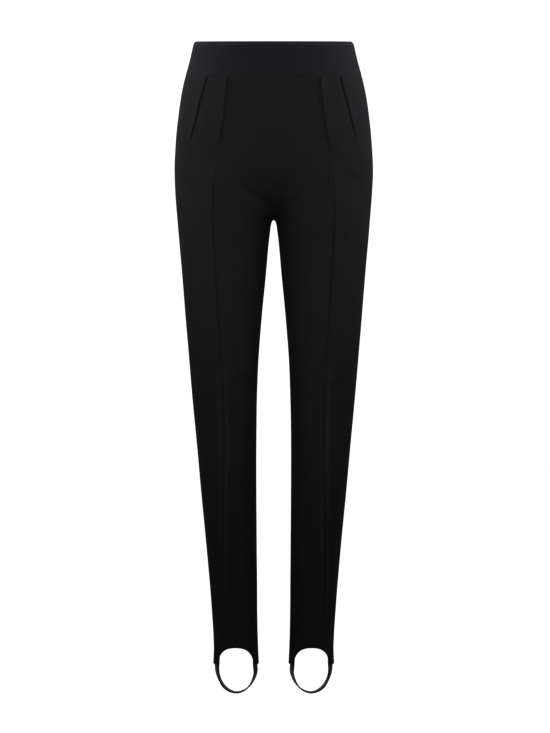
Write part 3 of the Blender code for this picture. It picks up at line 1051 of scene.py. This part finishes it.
def seam_allowance(run, hand, finish):
    """The overlocked allowances of a seam, pressed to one side on the inside of a panel."""
    size = sizes()
    suffix = "_left" if hand > 0 else "_right"
    panel = ("front" if run.facing < 0 else "back") + suffix
    levels = spread(run.bottom, run.top, round((run.top - run.bottom) / ALLOWANCE_STEP))
    width, thick = mm(size.allowance_width), mm(size.allowance_wall)
    rim = 0.8
    across = [0.0, rim] + spread(2.0, width - 2 * rim, 3) + [width - rim, width]
    if run.turn == 1:
        across.reverse()

    def spot(column, row):
        level, inset = levels[row], across[column]
        total = girth(level, run.facing)[1][-1]
        place = total - inset if run.turn == 1 else inset
        turn = turn_at(place, level, run.facing)
        point = panel_point(turn, level, run.facing)
        point.x *= hand
        away = width - inset
        wave = math.sin(2 * math.pi * level / OVERLOCK_PITCH + inset)
        wall = thick + OVERLOCK_HEIGHT * wave * (1 - ramp(away, *OVERLOCK_REACH))
        lift = min(0.0, creased(panel, place, level)) - mm(size.knit_wall) - ALLOWANCE_GAP
        return Spot(point, lift, wall, edge_rounding(away, wall), (place, level), ())

    name = run.name + suffix
    return cloth_shell(name, len(across), len(levels), spot, finish, reverse=run.facing * hand > 0)


# -------------------------------- finishes


def linear(code):
    """An sRGB hex value as linear red, green and blue."""
    channels = [int(code[i : i + 2], 16) / 255 for i in (1, 3, 5)]
    return [c / 12.92 if c <= 0.04045 else ((c + 0.055) / 1.055) ** 2.4 for c in channels]


def feed(tree, node, inputs):
    """Sets a node's inputs. Each is a value, or the socket or node that feeds it."""
    for key, value in inputs.items():
        if isinstance(value, bpy.types.Node):
            value = value.outputs[0]
        if isinstance(value, bpy.types.NodeSocket):
            tree.links.new(value, node.inputs[key])
        else:
            node.inputs[key].default_value = value


def add_node(tree, kind, settings, inputs):
    """Adds a shader node. settings are its own options, and inputs feed it."""
    node = tree.nodes.new(kind)
    for key, value in settings.items():
        setattr(node, key, value)
    feed(tree, node, inputs)
    return node


def new_material(name):
    """A node material with its tree and its Principled shader."""
    made = bpy.data.materials.new(name)
    made.use_nodes = True
    return made, made.node_tree, made.node_tree.nodes["Principled BSDF"]


def dyed(tree, colour, place, size, contrast):
    """A colour that varies softly in patches of some size in metres, as dye takes unevenly."""
    cloud = {"Vector": place, "Scale": 1 / size, "Detail": 4.0, "Roughness": 0.6}
    patches = add_node(tree, "ShaderNodeTexNoise", {}, cloud)
    dark, light = ((*(channel * share for channel in colour), 1) for share in (1 - contrast, 1 + contrast))
    inputs = {"Factor": patches.outputs["Fac"], 6: dark, 7: light}
    return add_node(tree, "ShaderNodeMix", {"data_type": "RGBA"}, inputs).outputs[2]


def ponte_knit(name, colour):
    """Ponte, a firm double-faced jersey of viscose, polyamide and elastane, dyed black.

    Its loops take up nearly all light, so it is matt, and the fibres that stand up from it give a faint
    grey bloom where it is seen edge on. A wale is about 1 mm wide, which the render can't show, so it is
    drawn wider. Its black is painted a little lighter on ridges and beside the pressed crease, as painted
    highlight, and darker in troughs and in the crease's line, as painted shade.
    """
    made, tree, shader = new_material(name)
    flat = add_node(tree, "ShaderNodeUVMap", {"uv_map": "flat_cloth"}, {})
    parts = add_node(tree, "ShaderNodeSeparateXYZ", {}, {"Vector": flat})
    rise = {0: parts.outputs["Y"], 1: math.pi / COURSE}
    rise = add_node(tree, "ShaderNodeMath", {"operation": "MULTIPLY"}, rise)
    waves = add_node(tree, "ShaderNodeMath", {"operation": "SINE"}, {0: rise})
    rows = add_node(tree, "ShaderNodeMath", {"operation": "ABSOLUTE"}, {0: waves})
    leaning = {0: rows, 1: 0.35 * WALE, 2: parts.outputs["X"]}
    leaning = add_node(tree, "ShaderNodeMath", {"operation": "MULTIPLY_ADD"}, leaning)
    turns = add_node(tree, "ShaderNodeMath", {"operation": "MULTIPLY"}, {0: leaning, 1: 2 * math.pi / WALE})
    loops = add_node(tree, "ShaderNodeMath", {"operation": "SINE"}, {0: turns})
    fuzz = {"Vector": flat, "Scale": 1 / FUZZ, "Detail": 3.0, "Roughness": 0.65}
    fuzz = add_node(tree, "ShaderNodeTexNoise", {}, fuzz)
    height = {0: fuzz.outputs["Fac"], 1: 1.3, 2: loops}
    height = add_node(tree, "ShaderNodeMath", {"operation": "MULTIPLY_ADD"}, height)
    bump = add_node(tree, "ShaderNodeBump", {}, {"Strength": 0.32, "Distance": 0.00016, "Height": height})
    # This attribute scales the black: painted highlight where above 0 and painted shade where below
    painted_light = add_node(tree, "ShaderNodeAttribute", {"attribute_name": "painted_light"}, {})
    share = {0: painted_light.outputs["Fac"], 1: 0.5, 2: 1.0}
    share = add_node(tree, "ShaderNodeMath", {"operation": "MULTIPLY_ADD"}, share)
    black = {0: dyed(tree, colour, flat, 0.035, 0.12), "Scale": share}
    black = add_node(tree, "ShaderNodeVectorMath", {"operation": "SCALE"}, black)
    surface = {
        "Base Color": black,
        "Normal": bump,
        "Roughness": 0.82,
        "Specular IOR Level": 0.01,
        "Sheen Weight": 0.006,
        "Sheen Roughness": 0.42,
        "Sheen Tint": (*linear("#EFF1FF"), 1),
    }
    feed(tree, shader, surface)
    return made


def ribbed_elastic(name, colour):
    """Woven elastic of polyester over rubber: ribs across it, wrapped in fine yarn with a slight gloss.

    The yarns lie a few tenths of a millimetre apart, and are drawn 1.1 mm apart so that they show.
    """
    made, tree, shader = new_material(name)
    flat = add_node(tree, "ShaderNodeUVMap", {"uv_map": "flat_cloth"}, {})
    parts = add_node(tree, "ShaderNodeSeparateXYZ", {}, {"Vector": flat})
    turns = {0: parts.outputs["Y"], 1: 2 * math.pi / YARN}
    turns = add_node(tree, "ShaderNodeMath", {"operation": "MULTIPLY"}, turns)
    yarn = add_node(tree, "ShaderNodeMath", {"operation": "SINE"}, {0: turns})
    bump = add_node(tree, "ShaderNodeBump", {}, {"Strength": 0.4, "Distance": 0.00015, "Height": yarn})
    surface = {
        "Base Color": dyed(tree, colour, flat, 0.006, 0.18),
        "Normal": bump,
        "Roughness": 0.55,
        "Specular IOR Level": 0.06,
        "Sheen Weight": 0.01,
        "Sheen Roughness": 0.4,
    }
    feed(tree, shader, surface)
    return made


def sewing_thread(name, colour):
    """Spun polyester thread, a little glossier than the knit, twisted about twice in each stitch."""
    made, tree, shader = new_material(name)
    place = add_node(tree, "ShaderNodeTexCoord", {}, {}).outputs["Object"]
    twist = {"Vector": place, "Scale": WAVE_REPEAT / TWIST, "Distortion": 1.0}
    twist = add_node(tree, "ShaderNodeTexWave", {"bands_direction": "DIAGONAL"}, twist).outputs["Fac"]
    bump = add_node(tree, "ShaderNodeBump", {}, {"Strength": 0.5, "Distance": 0.0001, "Height": twist})
    surface = {
        "Base Color": dyed(tree, colour, place, 0.003, 0.2),
        "Normal": bump,
        "Roughness": 0.5,
        "Specular IOR Level": 0.1,
    }
    feed(tree, shader, surface)
    return made


def studio_vinyl(name, colour):
    """Rolled-out white vinyl with a matt emboss of about 4 mm, which keeps reflections off the floor."""
    made, tree, shader = new_material(name)
    place = add_node(tree, "ShaderNodeTexCoord", {}, {}).outputs["Object"]
    grain = add_node(tree, "ShaderNodeTexNoise", {}, {"Vector": place, "Scale": 1 / EMBOSS, "Detail": 2.0})
    height = grain.outputs["Fac"]
    bump = add_node(tree, "ShaderNodeBump", {}, {"Strength": 0.05, "Distance": 0.0002, "Height": height})
    surface = {"Base Color": (*colour, 1), "Normal": bump, "Roughness": 0.9, "Specular IOR Level": 0.1}
    feed(tree, shader, surface)
    return made


# -------------------------------- sizes and colours that a user would change


def metres(name, description, default, lowest=0.0):
    """A size or place in metres."""
    return FloatProperty(
        name=name,
        description=description,
        default=default,
        min=lowest,
        precision=5,
        unit="LENGTH",
        subtype="DISTANCE",
    )


def tint(name, description, code):
    """A colour, given as an sRGB hex value."""
    return FloatVectorProperty(
        name=name,
        description=description,
        default=linear(code),
        min=0.0,
        max=1.0,
        size=3,
        subtype="COLOR",
    )


def watts(name, description, default):
    """The power of a lamp."""
    return FloatProperty(name=name, description=description, default=default, min=0.0, unit="POWER")


class LeggingsSizes(bpy.types.PropertyGroup):
    """Sizes of the cloth, its folds and its sewing"""

    knit_wall: metres("Knit", "Thickness of the knit", 0.0014)
    band_wall: metres("Waistband", "Thickness of the doubled waistband", 0.0024)
    elastic_wall: metres("Elastic", "Thickness of the strap under the foot", 0.0021)
    seam_depth: metres("Seam Depth", "How far the cloth rolls in at a seam", 0.0004)
    seam_reach: metres("Seam Reach", "How far from a seam the cloth rolls in", 0.0026)
    pleat_height: metres("Pleat Height", "Height of a pleat's folded edge", 0.0017)
    crease_height: metres("Crease Height", "Height of the pressed front crease", 0.0024)
    crease_reach: metres("Crease Reach", "Half the breadth of the front crease", 0.0112)
    line_depth: metres("Line Depth", "Depth of the fine line pressed into the crease on the thigh", 0.0013)
    hem_depth: metres("Hem Depth", "How far the hem is turned up", 0.0122)
    hem_fold: metres("Hem Fold", "Extra thickness where the hem is turned up", 0.0008)
    hem_stitch: metres("Hem Stitch", "From the hem to its topstitching", 0.0092)
    waist_stitch: metres("Waist Stitch", "From the top edge to its understitching", 0.0052)
    stitch_length: metres("Stitch Length", "Length of one stitch", 0.0031)
    thread_width: metres("Thread", "Width of a stitch's thread", 0.00075)
    allowance_width: metres("Allowance", "Width of an overlocked seam allowance", 0.0075)
    allowance_wall: metres("Allowance Wall", "Thickness of an overlocked seam allowance", 0.0016)
    rib_pitch: metres("Rib Pitch", "From rib to rib of the elastic", 0.0035)
    rib_depth: metres("Rib Depth", "Depth between the ribs of the elastic", 0.00045)


class LeggingsColours(bpy.types.PropertyGroup):
    """Colours of the cloth, the thread and the studio floor"""

    knit: tint("Knit", "Colour of the leg panels", "#1A1A1A")
    # One step lighter than the knit, as painted light: the waistband at the top is painted as if lit a
    # little more
    band: tint("Waistband", "Colour of the waistband", "#1B1B1C")
    elastic: tint("Elastic", "Colour of the straps", "#202021")
    # Painted highlight: the black thread is painted grey, lighter than the knit, for the light caught on
    # the raised stitches
    thread: tint("Thread", "Colour of the stitches", "#2E2E2F")
    floor: tint("Floor", "Colour of the studio floor", "#FAFAFA")


class LeggingsStage(bpy.types.PropertyGroup):
    """Camera and light of the studio"""

    camera_distance: metres("Camera Distance", "From the garment's middle to the camera", 4.0)
    camera_height: metres("Camera Height", "Level of the camera", -0.5573, lowest=-10.0)
    camera_side: metres("Camera Side", "How far the camera stands to the side", 0.0022, lowest=-10.0)
    focal_length: FloatProperty(
        name="Focal Length",
        description="Focal length of the lens in mm",
        default=114.5,
        min=1.0,
        subtype="DISTANCE_CAMERA",
    )
    floor_drop: metres("Floor Drop", "From under the straps to the floor", 0.45)
    key_power: watts("Key", "Power of the front light", 6.8)
    low_power: watts("Low Front", "Power of the lower front light", 0.8)
    side_power: watts("Sides", "Power of each side light", 4.3)
    top_power: watts("Top", "Power of the light overhead", 5.0)
    back_power: watts("Back", "Power of the light behind", 2.0)
    world_strength: FloatProperty(
        name="Surround",
        description="Strength of the white surround",
        default=1.06,
        min=0.0,
    )


# -------------------------------- pieces


def shared_finish(name, make, colour):
    """A material that several operators use, made by the first of them."""
    return bpy.data.materials.get(name) or make(name, tuple(colour))


def knit_finish(context):
    """The knit of the leg panels."""
    return shared_finish("black_ponte_knit", ponte_knit, context.scene.leggings_colours.knit)


def thread_finish(context):
    """The sewing thread."""
    return shared_finish("spun_polyester_thread", sewing_thread, context.scene.leggings_colours.thread)


class LEGGINGS_OT_waistband(bpy.types.Operator):
    """Makes both halves of the waistband, with their understitched top edge"""

    bl_idname = "leggings.waistband"
    bl_label = "Waistband"

    def execute(self, context):
        # The same knit with a lighter colour, painted light for the top of the garment
        finish = ponte_knit("doubled_ponte_knit", tuple(context.scene.leggings_colours.band))
        for name, facing, cut_area in (("waistband_front", -1, 0.0234), ("waistband_back", 1, 0.0236)):
            piece = waistband(name + "_cloth", facing, finish)
            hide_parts(name)
            row = waist_stitches(name + "_stitches", Surface(piece), facing, thread_finish(context))
        return {"FINISHED"}


class LegOperator:
    """What the operators of the fronts and of the backs share."""

    def make(self, context, kind, facing, flat, cut_area, seams):
        """Makes the left and right panel of a kind, front or back, with what is sewn on them."""
        knit, thread = knit_finish(context), thread_finish(context)
        for side, hand in (("left", 1), ("right", -1)):
            name = f"{kind}_{side}"
            piece = leg_panel(name, facing, hand, knit)
            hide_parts(name)
            on_it = [hem_stitches(name + "_hem_stitches", Surface(piece), facing, hand, thread)]
            on_it += [seam_allowance(run, hand, knit) for run in SEAM_RUNS if run.name in seams]


class LEGGINGS_OT_fronts(LegOperator, bpy.types.Operator):
    """Makes the two fronts, with their pleats, pressed creases and topstitched hems"""

    bl_idname = "leggings.fronts"
    bl_label = "Fronts"

    def execute(self, context):
        self.make(context, "front", -1, (0.262, 1.01), 0.19, ("front_allowance",))
        return {"FINISHED"}


class LEGGINGS_OT_backs(LegOperator, bpy.types.Operator):
    """Makes the two backs, with their topstitched hems and the allowances of the side seams and inseams"""

    bl_idname = "leggings.backs"
    bl_label = "Backs"

    def execute(self, context):
        seams = ("side_allowance", "inseam_allowance", "back_allowance")
        self.make(context, "back", 1, (0.268, 1.03), 0.196, seams)
        return {"FINISHED"}


class LEGGINGS_OT_stirrups(bpy.types.Operator):
    """Makes the ribbed elastic strap under each foot"""

    bl_idname = "leggings.stirrups"
    bl_label = "Stirrups"

    def execute(self, context):
        finish = ribbed_elastic("black_ribbed_elastic", tuple(context.scene.leggings_colours.elastic))
        for side, hand in (("left", 1), ("right", -1)):
            name = f"stirrup_{side}"
            piece = stirrup(name + "_elastic", hand, finish)
            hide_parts(name)
        return {"FINISHED"}


def area_light(name, place, target, width, height, power, cone=50):
    """A soft box turned towards a point. Its grid keeps the light in a cone of some degrees."""
    data = bpy.data.lights.new(name, "AREA")
    data.shape = "RECTANGLE"
    data.size = width
    data.size_y = height
    data.energy = power
    data.spread = math.radians(cone)
    data.color = LAMP_COLOUR
    light = bpy.data.objects.new(name, data)
    light.location = place
    light.rotation_euler = (Vector(target) - Vector(place)).to_track_quat("-Z", "Y").to_euler()
    bpy.context.scene.collection.objects.link(light)


class LEGGINGS_OT_stage(bpy.types.Operator):
    """Makes the studio: a pale floor, soft light and the camera"""

    bl_idname = "leggings.stage"
    bl_label = "Studio"

    def execute(self, context):
        scene = context.scene
        stage = scene.leggings_stage
        bm = bmesh.new()
        bmesh.ops.create_circle(bm, cap_ends=True, segments=96, radius=30)
        bmesh.ops.translate(bm, verts=bm.verts[:], vec=(0, 0, cad_box[0].z - stage.floor_drop))
        mesh = bpy.data.meshes.new("studio_floor")
        bm.to_mesh(mesh)
        bm.free()
        mesh.materials.append(studio_vinyl("white_studio_vinyl", tuple(scene.leggings_colours.floor)))
        floor = bpy.data.objects.new("studio_floor", mesh)
        scene.collection.objects.link(floor)
        area_light("front_softbox", (0, -1.7, 0.75), (0, 0, -0.05), 1.0, 0.5, stage.key_power)
        area_light("low_softbox", (0, -1.2, -0.65), (0, 0, -0.45), 0.3, 0.4, stage.low_power, cone=38)
        area_light("top_softbox", (0, -0.1, 1.5), (0, 0, 0), 0.8, 0.6, stage.top_power)
        area_light("back_softbox", (0, 1.7, 0.75), (0, 0, -0.15), 1.0, 0.5, stage.back_power)
        for name, hand in (("left_strip", 1), ("right_strip", -1)):
            area_light(name, (hand * 1.1, 0.1, 0.35), (0, 0, -0.13), 0.3, 0.5, stage.side_power)
        world = scene.world or bpy.data.worlds.new("studio_surround")
        scene.world = world
        world.use_nodes = True
        background = world.node_tree.nodes["Background"]
        background.inputs["Color"].default_value = (1, 1, 1, 1)
        background.inputs["Strength"].default_value = stage.world_strength
        lens = bpy.data.cameras.new("camera")
        lens.lens = stage.focal_length
        lens.sensor_width = 36.0
        lens.clip_end = 100.0
        camera = bpy.data.objects.new("camera", lens)
        camera.location = (stage.camera_side, -stage.camera_distance, stage.camera_height)
        camera.rotation_euler = (math.pi / 2, 0, 0)
        scene.collection.objects.link(camera)
        scene.camera = camera
        scene.view_settings.view_transform = "Standard"
        scene.view_settings.gamma = DISPLAY_GAMMA
        return {"FINISHED"}


class LEGGINGS_PT_sidebar(bpy.types.Panel):
    """Lists the sizes, colours and pieces of the leggings"""

    bl_label = "Stirrup Leggings"
    bl_idname = "LEGGINGS_PT_sidebar"
    bl_space_type = "VIEW_3D"
    bl_region_type = "UI"
    bl_category = "Leggings"

    def draw(self, context):
        scene = context.scene
        for group in (scene.leggings_sizes, scene.leggings_colours, scene.leggings_stage):
            box = self.layout.box()
            for key in group.bl_rna.properties.keys():
                if key not in ("rna_type", "name"):
                    box.prop(group, key)
        for made in OPERATORS:
            self.layout.operator(made.bl_idname)


OPERATORS = (
    LEGGINGS_OT_waistband,
    LEGGINGS_OT_fronts,
    LEGGINGS_OT_backs,
    LEGGINGS_OT_stirrups,
    LEGGINGS_OT_stage,
)
CLASSES = (LeggingsSizes, LeggingsColours, LeggingsStage, *OPERATORS, LEGGINGS_PT_sidebar)


def register():
    """Adds the classes and the scene's sizes, colours and studio settings."""
    for made in CLASSES:
        bpy.utils.register_class(made)
    bpy.types.Scene.leggings_sizes = PointerProperty(type=LeggingsSizes)
    bpy.types.Scene.leggings_colours = PointerProperty(type=LeggingsColours)
    bpy.types.Scene.leggings_stage = PointerProperty(type=LeggingsStage)


def unregister():
    """Takes away what register added."""
    del bpy.types.Scene.leggings_stage
    del bpy.types.Scene.leggings_colours
    del bpy.types.Scene.leggings_sizes
    for made in reversed(CLASSES):
        bpy.utils.unregister_class(made)


def main():
    """Makes the studio and every piece."""
    register()
    bpy.ops.leggings.stage()
    bpy.ops.leggings.waistband()
    bpy.ops.leggings.fronts()
    bpy.ops.leggings.backs()
    bpy.ops.leggings.stirrups()


if __name__ == "__main__":
    main()
